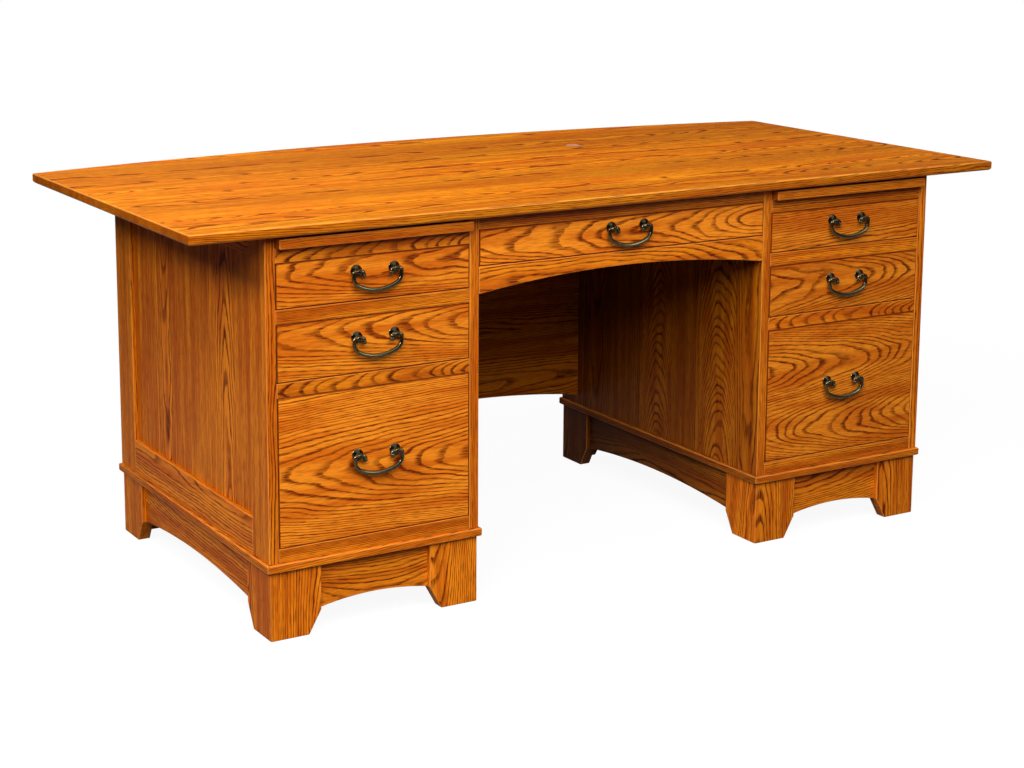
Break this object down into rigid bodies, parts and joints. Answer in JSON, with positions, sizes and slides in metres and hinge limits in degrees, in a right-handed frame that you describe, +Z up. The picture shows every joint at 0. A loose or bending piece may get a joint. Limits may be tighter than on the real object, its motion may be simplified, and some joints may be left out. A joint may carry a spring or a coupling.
{
  "type": "executive desk",
  "caption": "Oak executive desk: two drawer pedestals on bracket feet, centre drawer over an arched apron, pull-out writing boards and a top with a bowed back.",
  "frame": {"origin": "on the floor, under the middle of the desk's box", "axes": "+X along the desk to the sitter's right, the drawer fronts face -Y, +Z up"},
  "size_m": [1.8288, 0.9144, 0.762],
  "materials": {
    "oak_top": "satin lacquer",
    "oak_case": "satin lacquer",
    "oak_front": "satin lacquer",
    "maple": "clear lacquer",
    "slide_steel": "zinc plated",
    "bronze": "antique dark bronze",
    "grommet_plastic": "matte"
  },
  "bodies": {
    "carcass": {"desk_top": "oak_top", "grommet_liner": "grommet_plastic", "left_side_frame": "oak_case", "right_side_frame": "oak_case", "side_panels": "oak_case", "left_pedestal_back": "oak_case", "right_pedestal_back": "oak_case", "left_kneehole_side": "oak_case", "right_kneehole_side": "oak_case", "left_drawer_rails": "oak_case", "right_drawer_rails": "oak_case", "pedestal_plinths": "oak_case", "board_runners": "maple", "top_cleats": "maple", "bracket_feet": "oak_case", "base_skirts": "oak_case", "kneehole_rail": "oak_case", "kneehole_apron": "oak_case", "modesty_panel": "oak_case", "slide_channels": "slide_steel"},
    "grommet_cap": {"grommet_cap": "grommet_plastic"},
    "left_writing_board": {"left_writing_board": "oak_case"},
    "right_writing_board": {"right_writing_board": "oak_case"},
    "left_top_drawer": {"left_top_drawer_front": "oak_front", "left_top_drawer_box": "maple", "left_top_drawer_runners": "slide_steel", "left_top_pull_posts": "bronze"},
    "left_top_pull_bail": {"left_top_pull_bail": "bronze"},
    "left_middle_drawer": {"left_middle_drawer_front": "oak_front", "left_middle_drawer_box": "maple", "left_middle_drawer_runners": "slide_steel", "left_middle_pull_posts": "bronze"},
    "left_middle_pull_bail": {"left_middle_pull_bail": "bronze"},
    "left_file_drawer": {"left_file_drawer_front": "oak_front", "left_file_drawer_box": "maple", "left_file_drawer_runners": "slide_steel", "left_file_pull_posts": "bronze"},
    "left_file_slide_middles": {"left_file_slide_middles": "slide_steel"},
    "left_file_pull_bail": {"left_file_pull_bail": "bronze"},
    "right_top_drawer": {"right_top_drawer_front": "oak_front", "right_top_drawer_box": "maple", "right_top_drawer_runners": "slide_steel", "right_top_pull_posts": "bronze"},
    "right_top_pull_bail": {"right_top_pull_bail": "bronze"},
    "right_middle_drawer": {"right_middle_drawer_front": "oak_front", "right_middle_drawer_box": "maple", "right_middle_drawer_runners": "slide_steel", "right_middle_pull_posts": "bronze"},
    "right_middle_pull_bail": {"right_middle_pull_bail": "bronze"},
    "right_file_drawer": {"right_file_drawer_front": "oak_front", "right_file_drawer_box": "maple", "right_file_drawer_runners": "slide_steel", "right_file_pull_posts": "bronze"},
    "right_file_slide_middles": {"right_file_slide_middles": "slide_steel"},
    "right_file_pull_bail": {"right_file_pull_bail": "bronze"},
    "centre_drawer": {"centre_drawer_front": "oak_front", "centre_drawer_box": "maple", "centre_drawer_runners": "slide_steel", "centre_pull_posts": "bronze"},
    "centre_pull_bail": {"centre_pull_bail": "bronze"}
  },
  "joints": [
    {"name": "grommet_cap_turn", "type": "hinge", "parent": "carcass", "child": "grommet_cap", "pos_m": [0.277, 0.1918, 0.76], "axis": [0, 0, 1], "continuous": true},
    {"name": "left_writing_board_slide", "type": "slide", "parent": "carcass", "child": "left_writing_board", "axis": [0, -1, 0], "range_m": [0, 0.38]},
    {"name": "right_writing_board_slide", "type": "slide", "parent": "carcass", "child": "right_writing_board", "axis": [0, -1, 0], "range_m": [0, 0.38]},
    {"name": "left_top_drawer_slide", "type": "slide", "parent": "carcass", "child": "left_top_drawer", "axis": [0, -1, 0], "range_m": [0, 0.42]},
    {"name": "left_top_bail_swing", "type": "hinge", "parent": "left_top_drawer", "child": "left_top_pull_bail", "pos_m": [-0.5461, -0.4372, 0.66425], "axis": [-1, 0, 0], "range_deg": [0, 110]},
    {"name": "left_middle_drawer_slide", "type": "slide", "parent": "carcass", "child": "left_middle_drawer", "axis": [0, -1, 0], "range_m": [0, 0.42]},
    {"name": "left_middle_bail_swing", "type": "hinge", "parent": "left_middle_drawer", "child": "left_middle_pull_bail", "pos_m": [-0.5461, -0.4372, 0.543], "axis": [-1, 0, 0], "range_deg": [0, 110]},
    {"name": "left_file_drawer_slide", "type": "slide", "parent": "carcass", "child": "left_file_drawer", "axis": [0, -1, 0], "range_m": [0, 0.58]},
    {"name": "left_file_middles_slide", "type": "slide", "parent": "carcass", "child": "left_file_slide_middles", "axis": [0, -1, 0], "range_m": [0, 0.29]},
    {"name": "left_file_bail_swing", "type": "hinge", "parent": "left_file_drawer", "child": "left_file_pull_bail", "pos_m": [-0.5461, -0.4372, 0.32475], "axis": [-1, 0, 0], "range_deg": [0, 110]},
    {"name": "right_top_drawer_slide", "type": "slide", "parent": "carcass", "child": "right_top_drawer", "axis": [0, -1, 0], "range_m": [0, 0.42]},
    {"name": "right_top_bail_swing", "type": "hinge", "parent": "right_top_drawer", "child": "right_top_pull_bail", "pos_m": [0.5461, -0.4372, 0.66425], "axis": [-1, 0, 0], "range_deg": [0, 110]},
    {"name": "right_middle_drawer_slide", "type": "slide", "parent": "carcass", "child": "right_middle_drawer", "axis": [0, -1, 0], "range_m": [0, 0.42]},
    {"name": "right_middle_bail_swing", "type": "hinge", "parent": "right_middle_drawer", "child": "right_middle_pull_bail", "pos_m": [0.5461, -0.4372, 0.543], "axis": [-1, 0, 0], "range_deg": [0, 110]},
    {"name": "right_file_drawer_slide", "type": "slide", "parent": "carcass", "child": "right_file_drawer", "axis": [0, -1, 0], "range_m": [0, 0.58]},
    {"name": "right_file_middles_slide", "type": "slide", "parent": "carcass", "child": "right_file_slide_middles", "axis": [0, -1, 0], "range_m": [0, 0.29]},
    {"name": "right_file_bail_swing", "type": "hinge", "parent": "right_file_drawer", "child": "right_file_pull_bail", "pos_m": [0.5461, -0.4372, 0.32475], "axis": [-1, 0, 0], "range_deg": [0, 110]},
    {"name": "centre_drawer_slide", "type": "slide", "parent": "carcass", "child": "centre_drawer", "axis": [0, -1, 0], "range_m": [0, 0.33]},
    {"name": "centre_bail_swing", "type": "hinge", "parent": "centre_drawer", "child": "centre_pull_bail", "pos_m": [0, -0.4372, 0.6957], "axis": [-1, 0, 0], "range_deg": [0, 110]}
  ],
  "couplings": [
    {"joint": "left_file_middles_slide", "follows": "left_file_drawer_slide", "ratio": 0.5},
    {"joint": "right_file_middles_slide", "follows": "right_file_drawer_slide", "ratio": 0.5}
  ]
}
